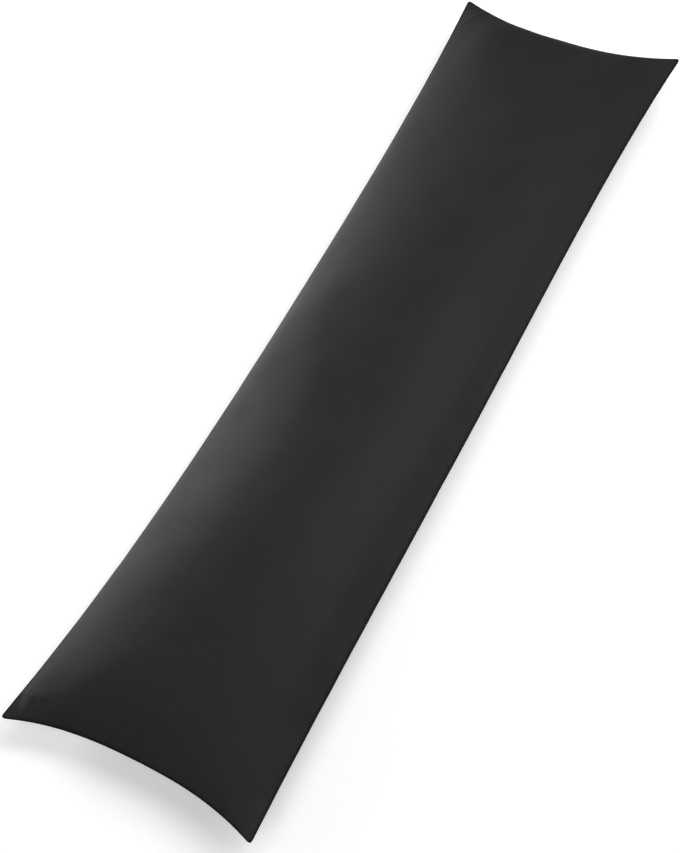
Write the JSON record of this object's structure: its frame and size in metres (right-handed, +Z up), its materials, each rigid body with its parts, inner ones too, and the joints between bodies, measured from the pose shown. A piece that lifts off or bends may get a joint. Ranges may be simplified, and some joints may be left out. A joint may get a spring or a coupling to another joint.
{
  "type": "body pillow",
  "caption": "Long soft body pillow with a plain dark cover, a crowned top and sides drawn in between its pointed corners, lying on its back.",
  "frame": {"origin": "on the surface the pillow lies on, in the middle of its box in plan", "axes": "+X across the pillow, +Y along it towards the far end, +Z up out of its top face"},
  "size_m": [0.3862, 1.4348, 0.1428],
  "materials": {
    "cover": "charcoal black brushed microfibre with a soft satin sheen"
  },
  "bodies": {
    "root": {"pillow": "cover"}
  },
  "joints": []
}
